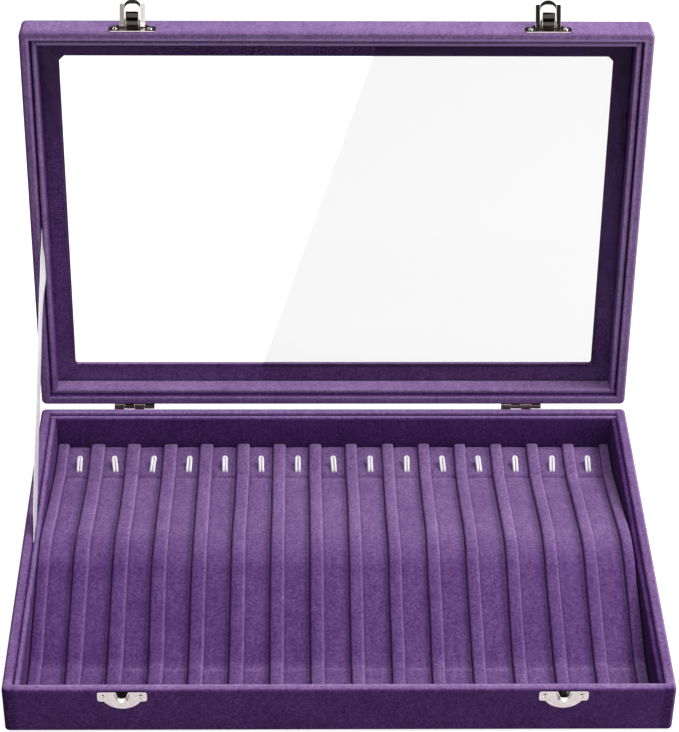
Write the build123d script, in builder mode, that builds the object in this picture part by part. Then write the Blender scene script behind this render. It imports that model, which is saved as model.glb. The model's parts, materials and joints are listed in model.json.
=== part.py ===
from build123d import *
import os
from math import cos, pi, radians, sin

# Velvet necklace box with a glazed lid, in millimetres
# +Z is up, the front is towards -Y, and the origin is at the centre of the underside
# Lid pieces are shaped with the lid closed, and turned open about the hinge when they are written

os.makedirs("parts", exist_ok=True)

# Case: boards wrapped in velvet
case_width = 350.0
case_depth = 240.0
tray_height = 28.8
lid_height = 18.1
parting_gap = 0.3
corner_radius = 3.0
edge_radius = 1.6
core_corner = 1.6
core_chamfer = 0.8
velvet_skin = 0.5
wall_board = 4.8
overrun = 5.0
wall = wall_board + 2 * velvet_skin
inner_width = case_width - 2 * wall
inner_depth = case_depth - 2 * wall
core_width = case_width - 2 * velvet_skin
core_depth = case_depth - 2 * velvet_skin
board_inner_width = core_width - 2 * wall_board
board_inner_depth = core_depth - 2 * wall_board

# Underside
base_sheet_thickness = 0.8
base_sheet_inset = 3.0
base_sheet_corner = 4.0
bottom_board_thickness = 2.5
tray_floor = base_sheet_thickness + bottom_board_thickness

# Liner strips that stand inside the walls
liner = 3.4
liner_round = 1.2
tray_liner_drop = 0.8
front_liner_drop = 4.5
lid_liner_drop = 2.5
nest_width = inner_width - 2 * liner
nest_depth = inner_depth - 2 * liner

# Lid: a mitred top frame round a pane that the liner strips hold up against it
frame_width = 20.0
frame_thickness = 3.5
window_clip = 3.0
window_round = 1.5
glass_thickness = 2.0
glass_gap = 0.3
lid_rim = tray_height + parting_gap
lid_top = lid_rim + lid_height
frame_under = lid_top - frame_thickness
glass_under = frame_under - glass_thickness

# Hinges on the back face
hinge_inset = 59.0
hinge_shift = -3.5
hinge_width = 23.9
hinge_sheet = 0.6
hinge_leaf_height = 11.0
hinge_leaf_corner = 1.5
knuckle_radius = 1.25
knuckle_count = 4
knuckle_gap = 0.2
knuckle_sweep_gap = 0.2
knuckle_sides = 16
hinge_pin_radius = 0.5
pin_sides = 12
running_gap = 0.05
hinge_nail_drop = 6.8
hinge_nail_step = 8.0
hinge_nail_head = 1.3
hinge_nail_dome = 0.55
hinge_nail_shank = 0.5
nail_length = 3.8
nail_sides = 10
shank_sides = 6
head_taper = 30.0
hole_depth = 4.4
hinge_offset = case_width / 2 - hinge_inset
hinge_y = case_depth / 2 + knuckle_radius
hinge_z = tray_height + parting_gap / 2
lid_opening = 95.6

# Stamped plates of the two draw latches, one on each half
latch_inset = 60.6
latch_offset = case_width / 2 - latch_inset
latch_shift = 1.8
plate_width = 25.7
plate_height = 11.6
plate_sheet = 0.6
plate_corner = 0.8
plate_tab_corner = 1.5
plate_tab_height = 6.5
plate_waist = 9.5
screw_step = 9.6
screw_drop = 3.3
screw_head = 1.5
screw_dome = 0.7
screw_shank = 0.6
screw_length = 3.6
keeper_drop = 0.3
latch_plate_rise = 0.8

# Catch tongue pressed out of the keeper
catch_width = 5.2
catch_sheet = 0.7
catch_reach = 3.4
catch_rise = 0.9
catch_fall = 2.15
catch_length = 5.0
catch_tip_round = 1.6
catch_bend = 0.9
lance_gap = 0.1
lance_length = 5.4

# Latch: ears on the plate, lever between them, loop outside them
ear_gap = 3.72
ear_sheet = 0.45
ear_foot = 0.2
ear_foot_length = 0.9
ear_head = 1.2
pivot_out = 4.7
pivot_up = 5.5
heel_reach = 2.5
latch_pin_radius = 0.55
lever_side_gap = 0.1
lever_hub = 1.35
lever_heel = 1.15
lever_reach = 5.1
lever_tip = 0.6
lever_tip_rise = 0.7
lever_sheet = 0.7
lever_flange = 0.7
lever_pocket_start = 1.5
loop_width = 14.1
loop_window = 8.7
loop_length = 14.0
loop_shoulder = 11.6
loop_crown = 8.6
loop_bar = 2.4
loop_window_round = 3.4
loop_shoulder_round = 0.7
loop_sheet = 0.9
loop_foot = 1.15
loop_foot_sides = 16
loop_lean = 28.0

# Insert: foam block, card former and ribbed velvet pad, bowed up across the middle
insert_gap = 0.4
rib_count = 16
rib_width = 6.8
rib_height = 2.8
rib_bevel = 1.2
pad_sheet = 1.0
card_sheet = 1.2
back_floor = 7.2
front_floor = 6.8
crease_reach = 30.4
peak_place = -5.0
peak_floor = 28.4
crease_radius = 25.0
peak_radius = 60.0
insert_width = nest_width - 2 * insert_gap
insert_depth = nest_depth - 2 * insert_gap
rib_pitch = (insert_width - rib_width) / (rib_count - 1)
crease_place = insert_depth / 2 - crease_reach

# Hairpin hooks, one in each channel
hook_reach = 24.2
hook_place = insert_depth / 2 - hook_reach
hook_wire = 0.65
hook_wire_sides = 6
hook_spread = 0.9
hook_stub = 0.6
hook_turn_steps = 4
hook_length = 9.05
hook_rise = 28.0
hook_slot_gap = 0.15
hook_tilts = (1, -8, 7, 4, -1, -2, 0, -5, -2, 0, -5, -6, -2, 2, -2)

# Ribbon that holds the open lid
ribbon_width = 10.0
ribbon_thickness = 0.5
ribbon_gap = 0.1
ribbon_tray_reach = 127.0
ribbon_tray_depth = 12.0
ribbon_lid_reach = 117.0
ribbon_lid_depth = 8.5

sides = {"left": -1, "right": 1}
hinge_axis = Axis((0, hinge_y, hinge_z), (1, 0, 0))


def front_plane(x, z, stand=0):
    """Plane on the front face that looks forward, with x to the right and y up."""
    return Plane(origin=(x, -case_depth / 2 - stand, z), x_dir=(1, 0, 0), z_dir=(0, -1, 0))


def back_plane(x, z, stand=0):
    """Plane on the back face that looks back, with y up."""
    return Plane(origin=(x, case_depth / 2 + stand, z), x_dir=(-1, 0, 0), z_dir=(0, 1, 0))


def latch_side(x):
    """Plane across a latch: x is the distance out from the front face, y the height over the parting."""
    return Plane(origin=(x, -case_depth / 2, tray_height), x_dir=(0, -1, 0), z_dir=(-1, 0, 0))


def block(low, high):
    """Plain block between two corners."""
    with BuildPart() as solid:
        with Locations(tuple((a + b) / 2 for a, b in zip(low, high))):
            Box(*(b - a for a, b in zip(low, high)))
    return solid.part


def nail(head_radius, dome, shank_radius, length):
    """Nail whose raised head sits on XY, its shank below."""
    with BuildPart() as one:
        with BuildSketch():
            RegularPolygon(head_radius, nail_sides)
        extrude(amount=dome, taper=head_taper)
        with BuildSketch():
            RegularPolygon(shank_radius, shank_sides)
        extrude(amount=-length)
    return one.part


def screw_hole(shank_radius):
    """What a nail's hole cuts away: out through a plate, and blind in the board."""
    with BuildPart() as cut:
        with BuildSketch(Plane.XY.offset(-hole_depth)):
            RegularPolygon(shank_radius + running_gap, shank_sides, major_radius=False)
        extrude(amount=hole_depth + overrun)
    return cut.part


def write_open(piece, name):
    """Turn a lid piece open about the hinge, label it and write it."""
    posed = piece.rotate(hinge_axis, -lid_opening)
    posed.label = name
    export_step(posed, f"parts/{name}.step")


# Places of the fasteners
keeper_seats = [
    front_plane(latch_shift + sign * latch_offset + step, tray_height - keeper_drop - screw_drop)
    for sign in sides.values()
    for step in (-screw_step, screw_step)
]
latch_seats = [
    front_plane(latch_shift + sign * latch_offset + step, tray_height + latch_plate_rise + screw_drop)
    for sign in sides.values()
    for step in (-screw_step, screw_step)
]
tray_hinge_seats = [
    back_plane(hinge_shift + sign * hinge_offset + step, hinge_z - hinge_nail_drop)
    for sign in sides.values()
    for step in (-hinge_nail_step, hinge_nail_step)
]
lid_hinge_seats = [
    back_plane(hinge_shift + sign * hinge_offset + step, hinge_z + hinge_nail_drop)
    for sign in sides.values()
    for step in (-hinge_nail_step, hinge_nail_step)
]


def pilot_holes(seats, shank_radius):
    """Cut the holes of one row of nails through the piece in hand."""
    with Locations(*seats):
        add(screw_hole(shank_radius), mode=Mode.SUBTRACT)


def ease(corners, skin, cut, radius):
    """Break corners: boards under the velvet are planed off, the velvet is round."""
    if skin:
        chamfer(corners, cut)
    else:
        fillet(corners, radius)


# Tray walls, as one form from which the boards and their velvet are cut
def tray_form(skin):
    """Ring of the four walls, a skin's thickness below the finished velvet."""
    with BuildPart() as form:
        with BuildSketch(Plane.XY.offset(base_sheet_thickness)) as outline:
            Rectangle(case_width - 2 * skin, case_depth - 2 * skin)
            ease(outline.vertices(), skin, core_corner, corner_radius)
            Rectangle(inner_width + 2 * skin, inner_depth + 2 * skin, mode=Mode.SUBTRACT)
        extrude(amount=tray_height - base_sheet_thickness - skin)
        ease(form.faces().sort_by(Axis.Z)[-1].edges(), skin, core_chamfer, edge_radius)
    return form.part


tray_core = tray_form(velvet_skin)
half_core_width = core_width / 2
half_core_depth = core_depth / 2
half_board_inner_width = board_inner_width / 2
half_board_inner_depth = board_inner_depth / 2
wall_regions = {
    "front": ((-half_core_width, -half_core_depth), (half_core_width, -half_board_inner_depth)),
    "back": ((-half_core_width, half_board_inner_depth), (half_core_width, half_core_depth)),
    "left": ((-half_core_width, -half_board_inner_depth), (-half_board_inner_width, half_board_inner_depth)),
    "right": ((half_board_inner_width, -half_board_inner_depth), (half_core_width, half_board_inner_depth)),
}

for side, (low, high) in wall_regions.items():
    with BuildPart() as tray_wall:
        add(tray_core)
        add(block((*low, 0), (*high, tray_height)), mode=Mode.INTERSECT)
        if side == "front":
            pilot_holes(keeper_seats, screw_shank)
        if side == "back":
            pilot_holes(tray_hinge_seats, hinge_nail_shank)
    tray_wall.part.label = f"tray_{side}_board"
    export_step(tray_wall.part, f"parts/tray_{side}_board.step")

with BuildPart() as tray_velvet_cover:
    add(tray_form(0))
    add(tray_core, mode=Mode.SUBTRACT)
    pilot_holes(keeper_seats, screw_shank)
    pilot_holes(tray_hinge_seats, hinge_nail_shank)
tray_velvet_cover.part.label = "tray_velvet_cover"
export_step(tray_velvet_cover.part, "parts/tray_velvet_cover.step")

with BuildPart() as base_sheet:
    with BuildSketch():
        RectangleRounded(
            case_width - 2 * base_sheet_inset, case_depth - 2 * base_sheet_inset, base_sheet_corner
        )
    extrude(amount=base_sheet_thickness)
base_sheet.part.label = "base_sheet"
export_step(base_sheet.part, "parts/base_sheet.step")

with BuildPart() as tray_bottom_board:
    with BuildSketch(Plane.XY.offset(base_sheet_thickness)):
        Rectangle(inner_width, inner_depth)
    extrude(amount=bottom_board_thickness)
tray_bottom_board.part.label = "tray_bottom_board"
export_step(tray_bottom_board.part, "parts/tray_bottom_board.step")

# Ribbon: a flat band in the seam between the left walls and their liners
ribbon_x = -inner_width / 2
hinge_line = Vector(0, hinge_y, hinge_z)
tray_end = Vector(0, hinge_y - ribbon_tray_reach, tray_height - ribbon_tray_depth)
closed_lid_end = Vector(0, hinge_y - ribbon_lid_reach, lid_rim + ribbon_lid_depth)
lid_end = hinge_line + (closed_lid_end - hinge_line).rotate(Axis.X, -lid_opening)
band = lid_end - tray_end
band_plane = Plane(origin=(tray_end + lid_end) / 2 + Vector(ribbon_x, 0, 0), x_dir=band, z_dir=(1, 0, 0))


def ribbon_band(gap):
    """The ribbon, or with a gap the pocket that it lies in."""
    with BuildPart() as strip:
        with BuildSketch(band_plane):
            Rectangle(band.length + 2 * gap, ribbon_width + 2 * gap)
        extrude(amount=ribbon_thickness + gap)
    return strip.part


lid_ribbon_stay = ribbon_band(0)
lid_ribbon_stay.label = "lid_ribbon_stay"
export_step(lid_ribbon_stay, "parts/lid_ribbon_stay.step")

# Liner strips: the back one runs the full width, the sides from it to the front wall
half_inner_width = inner_width / 2
half_inner_depth = inner_depth / 2
half_nest_width = nest_width / 2
half_nest_depth = nest_depth / 2
liner_regions = {
    "front": ((-half_nest_width, -half_inner_depth), (half_nest_width, -half_nest_depth)),
    "back": ((-half_inner_width, half_nest_depth), (half_inner_width, half_inner_depth)),
    "left": ((-half_inner_width, -half_inner_depth), (-half_nest_width, half_nest_depth)),
    "right": ((half_nest_width, -half_inner_depth), (half_inner_width, half_nest_depth)),
}

for side, (low, high) in liner_regions.items():
    run = Axis.Y if side in sides else Axis.X
    top = tray_height - (front_liner_drop if side == "front" else tray_liner_drop)
    with BuildPart() as tray_liner:
        add(block((*low, tray_floor), (*high, top)))
        fillet(tray_liner.faces().sort_by(Axis.Z)[-1].edges().filter_by(run), liner_round)
        if side == "left":
            add(ribbon_band(ribbon_gap), mode=Mode.SUBTRACT)
    tray_liner.part.label = f"tray_{side}_liner"
    export_step(tray_liner.part, f"parts/tray_{side}_liner.step")

    with BuildPart() as lid_liner:
        add(block((*low, lid_rim + lid_liner_drop), (*high, glass_under)))
        fillet(lid_liner.faces().sort_by(Axis.Z)[0].edges().filter_by(run), liner_round)
        if side == "left":
            add(ribbon_band(ribbon_gap).rotate(hinge_axis, lid_opening), mode=Mode.SUBTRACT)
    write_open(lid_liner.part, f"lid_{side}_liner")


# Lid walls and top frame, as one form from which the boards and their velvet are cut
def lid_form(skin):
    """Walls and top frame, a skin's thickness below the finished velvet."""
    with BuildPart() as form:
        with BuildSketch(Plane.XY.offset(lid_rim + skin)) as outline:
            Rectangle(case_width - 2 * skin, case_depth - 2 * skin)
            ease(outline.vertices(), skin, core_corner, corner_radius)
        extrude(amount=lid_height - 2 * skin)
        with BuildSketch(Plane.XY.offset(lid_rim)):
            Rectangle(inner_width + 2 * skin, inner_depth + 2 * skin)
        extrude(amount=lid_height - frame_thickness + skin, mode=Mode.SUBTRACT)
        with BuildSketch(Plane.XY.offset(frame_under)) as window:
            Rectangle(case_width - 2 * (frame_width - skin), case_depth - 2 * (frame_width - skin))
            chamfer(window.vertices().group_by(Axis.Y)[0], window_clip)
            ease(window.vertices().group_by(Axis.Y)[-1], skin, core_chamfer, window_round)
        extrude(amount=frame_thickness, mode=Mode.SUBTRACT)
        rim_edges = form.faces().sort_by(Axis.Z)[0].edges()
        top_edges = form.faces().sort_by(Axis.Z)[-1].edges()
        ease(rim_edges + top_edges, skin, core_chamfer, edge_radius)
    return form.part


lid_core = lid_form(velvet_skin)
frame_joint = frame_under + velvet_skin

for side, (low, high) in wall_regions.items():
    with BuildPart() as lid_wall:
        add(lid_core)
        add(block((*low, lid_rim), (*high, frame_joint)), mode=Mode.INTERSECT)
        if side == "front":
            pilot_holes(latch_seats, screw_shank)
        if side == "back":
            pilot_holes(lid_hinge_seats, hinge_nail_shank)
    write_open(lid_wall.part, f"lid_{side}_board")

half_width = case_width / 2
half_depth = case_depth / 2
mitre_x = half_width - frame_width
mitre_y = half_depth - frame_width
frame_outlines = {
    "front": ((-half_width, -half_depth), (half_width, -half_depth), (mitre_x, -mitre_y), (-mitre_x, -mitre_y)),
    "back": ((-half_width, half_depth), (-mitre_x, mitre_y), (mitre_x, mitre_y), (half_width, half_depth)),
    "left": ((-half_width, half_depth), (-half_width, -half_depth), (-mitre_x, -mitre_y), (-mitre_x, mitre_y)),
    "right": ((half_width, -half_depth), (half_width, half_depth), (mitre_x, mitre_y), (mitre_x, -mitre_y)),
}

for side, corners in frame_outlines.items():
    with BuildPart() as frame_board:
        with BuildSketch(Plane.XY.offset(frame_joint)):
            Polygon(*corners, align=None)
        extrude(amount=frame_thickness)
        add(lid_core, mode=Mode.INTERSECT)
    write_open(frame_board.part, f"lid_frame_{side}")

with BuildPart() as lid_velvet_cover:
    add(lid_form(0))
    add(lid_core, mode=Mode.SUBTRACT)
    with BuildSketch(Plane.XY.offset(glass_under)):
        Rectangle(board_inner_width, board_inner_depth)
    extrude(amount=glass_thickness, mode=Mode.SUBTRACT)
    pilot_holes(latch_seats, screw_shank)
    pilot_holes(lid_hinge_seats, hinge_nail_shank)
write_open(lid_velvet_cover.part, "lid_velvet_cover")

with BuildPart() as lid_glass:
    with BuildSketch(Plane.XY.offset(glass_under)):
        Rectangle(board_inner_width - 2 * glass_gap, board_inner_depth - 2 * glass_gap)
    extrude(amount=glass_thickness)
write_open(lid_glass.part, "lid_glass")


# Insert
def crown(rise):
    """Corners of the bowed surface, from back to front, at a rise over the channel floor."""
    return [
        (insert_depth / 2, back_floor + rise),
        (crease_place, back_floor + rise),
        (peak_place, peak_floor + rise),
        (-crease_place, front_floor + rise),
        (-insert_depth / 2, front_floor + rise),
    ]


def bowed_sheet(width, top, bottom):
    """Bowed strip across X between two rises over the channel floor."""
    radii = [crease_radius, peak_radius, crease_radius]
    with BuildPart() as sheet:
        with BuildSketch(Plane.YZ):
            with BuildLine():
                FilletPolyline(*crown(top), radius=radii)
                FilletPolyline(*crown(bottom), radius=radii)
                Line(crown(top)[0], crown(bottom)[0])
                Line(crown(top)[-1], crown(bottom)[-1])
            make_face()
        extrude(amount=width / 2, both=True)
    return sheet.part


def hook_plane(index):
    """Plane of one hook on the channel floor, turned by its own tilt."""
    x = (index - (rib_count - 2) / 2) * rib_pitch
    return Plane(origin=(x, hook_place, back_floor)).rotated((0, 0, -hook_tilts[index]))


hook_planes = [hook_plane(index) for index in range(rib_count - 1)]


# Slots that the legs of the hooks pass through
with BuildPart() as hook_slots:
    with BuildSketch(*hook_planes):
        Rectangle(
            2 * (hook_spread + hook_wire + hook_slot_gap),
            2 * (hook_wire + hook_slot_gap),
        )
    extrude(amount=pad_sheet + card_sheet + hook_stub, both=True)

with BuildPart() as pad_rib:
    add(bowed_sheet(rib_width, rib_height, -pad_sheet / 2))
    crests = pad_rib.faces().filter_by(lambda face: face.normal_at().Z > sin(radians(60)))
    chamfer(crests.edges().filter_by(lambda edge: abs(edge.tangent_at(0.5).X) < sin(radians(1))), rib_bevel)

with BuildPart() as insert_velvet_pad:
    add(bowed_sheet(insert_width, 0, -pad_sheet))
    with GridLocations(rib_pitch, 0, rib_count, 1):
        add(pad_rib.part)
    add(hook_slots.part, mode=Mode.SUBTRACT)
insert_velvet_pad.part.label = "insert_velvet_pad"
export_step(insert_velvet_pad.part, "parts/insert_velvet_pad.step")

with BuildPart() as insert_card:
    add(bowed_sheet(insert_width, -pad_sheet, -pad_sheet - card_sheet))
    add(hook_slots.part, mode=Mode.SUBTRACT)
insert_card.part.label = "insert_card"
export_step(insert_card.part, "parts/insert_card.step")

with BuildPart() as insert_foam:
    with BuildSketch(Plane.YZ):
        with BuildLine():
            foam_crown = crown(-pad_sheet - card_sheet)
            FilletPolyline(*foam_crown, radius=[crease_radius, peak_radius, crease_radius])
            Polyline(
                foam_crown[0],
                (insert_depth / 2, tray_floor),
                (-insert_depth / 2, tray_floor),
                foam_crown[-1],
            )
        make_face()
    extrude(amount=insert_width / 2, both=True)
insert_foam.part.label = "insert_foam"
export_step(insert_foam.part, "parts/insert_foam.step")

# Hooks: each a wire hairpin that stands up out of its slot and leans back
hook_out = Vector(0, cos(radians(hook_rise)), sin(radians(hook_rise)))
hook_knee = Vector(0, 0, hook_stub)
hook_foot = Vector(0, 0, -pad_sheet - card_sheet / 2)
hook_turn = hook_knee + hook_out * (hook_length - hook_spread)
leg = Vector(hook_spread, 0, 0)
turn_angles = [pi * step / hook_turn_steps for step in range(hook_turn_steps + 1)]
hook_turns = [hook_turn - leg * cos(angle) + hook_out * hook_spread * sin(angle) for angle in turn_angles]
with BuildPart() as hook:
    with BuildLine() as hairpin:
        Polyline(hook_foot - leg, hook_knee - leg, *hook_turns, hook_knee + leg, hook_foot + leg)
    with BuildSketch(Plane(origin=hook_foot - leg)):
        RegularPolygon(hook_wire, hook_wire_sides)
    sweep(path=hairpin.line, transition=Transition.RIGHT)

with BuildPart() as necklace_hooks:
    with Locations(*hook_planes):
        add(hook.part)
necklace_hooks.part.label = "necklace_hooks"
export_step(necklace_hooks.part, "parts/necklace_hooks.step")


# Hinges
knuckle_width = (hinge_width - (knuckle_count - 1) * knuckle_gap) / knuckle_count
knuckle_pitch = knuckle_width + knuckle_gap
knuckle_places = [(index - (knuckle_count - 1) / 2) * knuckle_pitch for index in range(knuckle_count)]


def barrel(radius, length, x, count, bore=False):
    """Many-sided bar on the hinge axis, or with bore what clears a bar of that radius."""
    with BuildPart() as bar:
        with BuildSketch(Plane(origin=(x, hinge_y, hinge_z), z_dir=(1, 0, 0))):
            RegularPolygon(radius, count, major_radius=not bore)
        extrude(amount=length / 2, both=True)
    return bar.part


def hinge_leaf(centre, up, first):
    """Leaf above (1) or below (-1) the axis, with every second knuckle from the first."""
    with BuildPart() as leaf:
        with BuildSketch(back_plane(centre, hinge_z)) as flat:
            with Locations((0, up * hinge_leaf_height / 2)):
                Rectangle(hinge_width, hinge_leaf_height)
            far_corners = flat.vertices().sort_by(Axis.Y)[-2:] if up > 0 else flat.vertices().sort_by(Axis.Y)[:2]
            chamfer(far_corners, hinge_leaf_corner)
            with Locations(*((-place, 0) for place in knuckle_places[1 - first :: 2])):
                Rectangle(
                    knuckle_width + 2 * knuckle_gap,
                    2 * (knuckle_radius + knuckle_sweep_gap),
                    mode=Mode.SUBTRACT,
                )
        extrude(amount=hinge_sheet)
        for place in knuckle_places[first::2]:
            add(barrel(knuckle_radius, knuckle_width, centre + place, knuckle_sides))
        bore_radius = hinge_pin_radius + running_gap
        add(barrel(bore_radius, hinge_width, centre, pin_sides, bore=True), mode=Mode.SUBTRACT)
    return leaf.part


for side, sign in sides.items():
    centre = hinge_shift + sign * hinge_offset
    with BuildPart() as tray_hinge_leaf:
        add(hinge_leaf(centre, -1, 0))
        pilot_holes(tray_hinge_seats, hinge_nail_shank)
    tray_hinge_leaf.part.label = f"tray_hinge_leaf_{side}"
    export_step(tray_hinge_leaf.part, f"parts/tray_hinge_leaf_{side}.step")

    with BuildPart() as lid_hinge_leaf:
        add(hinge_leaf(centre, 1, 1))
        pilot_holes(lid_hinge_seats, hinge_nail_shank)
    write_open(lid_hinge_leaf.part, f"lid_hinge_leaf_{side}")

    hinge_pin = barrel(hinge_pin_radius, hinge_width, centre, pin_sides)
    hinge_pin.label = f"hinge_pin_{side}"
    export_step(hinge_pin, f"parts/hinge_pin_{side}.step")

hinge_nail = nail(hinge_nail_head, hinge_nail_dome, hinge_nail_shank, nail_length)
with BuildPart() as tray_hinge_nails:
    with Locations(*(seat.offset(hinge_sheet) for seat in tray_hinge_seats)):
        add(hinge_nail)
tray_hinge_nails.part.label = "tray_hinge_nails"
export_step(tray_hinge_nails.part, "parts/tray_hinge_nails.step")

with BuildPart() as lid_hinge_nails:
    with Locations(*(seat.offset(hinge_sheet) for seat in lid_hinge_seats)):
        add(hinge_nail)
write_open(lid_hinge_nails.part, "lid_hinge_nails")


# Latch hardware
def boat_plate(plane, up):
    """Stamped plate with a straight edge on the plane's x axis and its belly up (1) or down (-1)."""
    half = plate_width / 2
    low = up * plate_tab_height
    with BuildPart() as plate:
        with BuildSketch(plane) as outline:
            with BuildLine():
                Polyline((-plate_waist, low), (-half, low), (-half, 0), (half, 0), (half, low), (plate_waist, low))
                ThreePointArc((plate_waist, low), (0, up * plate_height), (-plate_waist, low))
            make_face()
            edge_corners = outline.vertices().filter_by(lambda vertex: abs(vertex.Y) < plate_sheet)
            tab_corners = outline.vertices().filter_by(
                lambda vertex: abs(vertex.X) > plate_waist + plate_sheet and abs(vertex.Y) > plate_sheet
            )
            chamfer(edge_corners, plate_corner)
            fillet(tab_corners, plate_tab_corner)
        extrude(amount=plate_sheet)
    return plate.part


def catch_tongue(x):
    """Tongue that slopes out of the keeper and turns down over the loop."""
    plate_top = -keeper_drop
    inner = catch_reach - catch_sheet
    with BuildPart() as tongue:
        with BuildSketch(latch_side(x)) as profile:
            Polygon(
                (0, plate_top),
                (plate_sheet, plate_top),
                (catch_reach, plate_top - catch_fall),
                (catch_reach, plate_top - catch_length),
                (inner, plate_top - catch_length),
                (inner, plate_top - catch_fall - catch_sheet / 2),
                (plate_sheet, plate_top - catch_rise),
                (0, plate_top - catch_rise),
                align=None,
            )
            shoulder = profile.vertices().sort_by_distance((catch_reach, plate_top - catch_fall))[0]
            fillet(shoulder, catch_bend)
        extrude(amount=catch_width / 2, both=True)
        tip = tongue.faces().sort_by(Axis.Z)[0].edges().filter_by(Axis.Y)
        fillet(tip, catch_tip_round)
    return tongue.part


for side, sign in sides.items():
    centre = latch_shift + sign * latch_offset
    with BuildPart() as keeper:
        add(boat_plate(front_plane(centre, tray_height - keeper_drop), -1))
        lance_top = -keeper_drop - catch_rise
        with BuildSketch(front_plane(centre, tray_height)):
            with Locations((0, lance_top - lance_length / 2)):
                Rectangle(catch_width + 2 * lance_gap, lance_length)
        extrude(amount=plate_sheet, mode=Mode.SUBTRACT)
        add(catch_tongue(centre))
        pilot_holes(keeper_seats, screw_shank)
    keeper.part.label = f"keeper_{side}"
    export_step(keeper.part, f"parts/keeper_{side}.step")

screw = nail(screw_head, screw_dome, screw_shank, screw_length)
with BuildPart() as keeper_screws:
    with Locations(*(seat.offset(plate_sheet) for seat in keeper_seats)):
        add(screw)
keeper_screws.part.label = "keeper_screws"
export_step(keeper_screws.part, "parts/keeper_screws.step")

with BuildPart() as latch_screws:
    with Locations(*(seat.offset(plate_sheet) for seat in latch_seats)):
        add(screw)
write_open(latch_screws.part, "latch_screws")

pivot = (pivot_out, pivot_up)
heel = (pivot_out - heel_reach, pivot_up)


def cross_bar(x, place, radius, half_length, count=pin_sides, bore=False):
    """Many-sided bar across a latch, or with bore what clears a bar of that radius."""
    with BuildPart() as bar:
        with BuildSketch(latch_side(x)):
            with Locations(place):
                RegularPolygon(radius, count, major_radius=not bore)
        extrude(amount=half_length, both=True)
    return bar.part


bore_radius = latch_pin_radius + running_gap
lever_half = ear_gap - lever_side_gap
ear_outer = ear_gap + ear_sheet
leg_width = (loop_width - loop_window) / 2
leg_place = (loop_width + loop_window) / 4

for side, sign in sides.items():
    centre = latch_shift + sign * latch_offset

    with BuildPart() as latch_plate:
        add(boat_plate(front_plane(centre, tray_height + latch_plate_rise), 1))
        for ear_sign in sides.values():
            with BuildSketch(latch_side(centre + ear_sign * (ear_gap + ear_sheet / 2))):
                with Locations((plate_sheet, latch_plate_rise + ear_foot)):
                    Rectangle(plate_sheet / 2, ear_foot_length, align=(Align.MAX, Align.MIN))
                with Locations(pivot):
                    Circle(ear_head)
                make_hull()
            extrude(amount=ear_sheet / 2, both=True)
        add(cross_bar(centre, pivot, bore_radius, ear_outer, bore=True), mode=Mode.SUBTRACT)
        pilot_holes(latch_seats, screw_shank)
    write_open(latch_plate.part, f"latch_plate_{side}")

    write_open(cross_bar(centre, pivot, latch_pin_radius, ear_outer), f"latch_pivot_pin_{side}")

    with BuildPart() as lever:
        with BuildSketch(latch_side(centre)):
            with Locations(pivot):
                Circle(lever_hub)
            with Locations(heel):
                Circle(lever_heel)
            with Locations((pivot_out + lever_reach - lever_tip, pivot_up + lever_tip_rise)):
                Circle(lever_tip)
            make_hull()
        extrude(amount=lever_half, both=True)
        pocket_start = pivot_out + lever_pocket_start
        pocket_end = pivot_out + lever_reach - lever_sheet
        with BuildSketch(latch_side(centre)):
            with Locations(((pocket_start + pocket_end) / 2, pivot_up + lever_tip_rise - lever_sheet)):
                Rectangle(
                    pocket_end - pocket_start,
                    2 * lever_hub,
                    align=(Align.CENTER, Align.MAX),
                )
        extrude(amount=lever_half - lever_flange, both=True, mode=Mode.SUBTRACT)
        for place in (pivot, heel):
            add(cross_bar(centre, place, bore_radius, lever_half, bore=True), mode=Mode.SUBTRACT)
    write_open(lever.part, f"latch_lever_{side}")

    heel_place = Vector(centre, -case_depth / 2 - heel[0], tray_height + heel[1])
    loop_way = Vector(0, -cos(radians(loop_lean)), sin(radians(loop_lean)))
    loop_plane = Plane(origin=heel_place, x_dir=(1, 0, 0), z_dir=Vector(1, 0, 0).cross(loop_way))
    with BuildPart() as loop:
        with BuildSketch(loop_plane.offset(-loop_foot)) as loop_outline:
            with BuildLine():
                Polyline(
                    (-loop_crown / 2, loop_shoulder),
                    (-loop_width / 2, loop_shoulder),
                    (-loop_width / 2, 0),
                    (loop_width / 2, 0),
                    (loop_width / 2, loop_shoulder),
                    (loop_crown / 2, loop_shoulder),
                )
                ThreePointArc(
                    (loop_crown / 2, loop_shoulder),
                    (0, loop_length),
                    (-loop_crown / 2, loop_shoulder),
                )
            make_face()
            corners = loop_outline.vertices().group_by(Axis.X)
            fillet([corners[0].sort_by(Axis.Y)[-1], corners[-1].sort_by(Axis.Y)[-1]], loop_shoulder_round)
        extrude(amount=loop_sheet)
        with BuildSketch(loop_plane.offset(-loop_foot)) as loop_opening:
            with Locations((0, loop_length - loop_bar)):
                Rectangle(loop_window, loop_length, align=(Align.CENTER, Align.MAX))
            fillet(loop_opening.vertices().sort_by(Axis.Y)[-2:], loop_window_round)
        extrude(amount=loop_sheet, mode=Mode.SUBTRACT)
        for leg_sign in sides.values():
            add(cross_bar(centre + leg_sign * leg_place, heel, loop_foot, leg_width / 2, loop_foot_sides))
        add(cross_bar(centre, heel, bore_radius, loop_width / 2, bore=True), mode=Mode.SUBTRACT)
    write_open(loop.part, f"latch_loop_{side}")

    write_open(cross_bar(centre, heel, latch_pin_radius, loop_width / 2), f"loop_pin_{side}")
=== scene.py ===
import json
import math

import bmesh
import bpy
from mathutils import Matrix, Vector, noise


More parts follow.
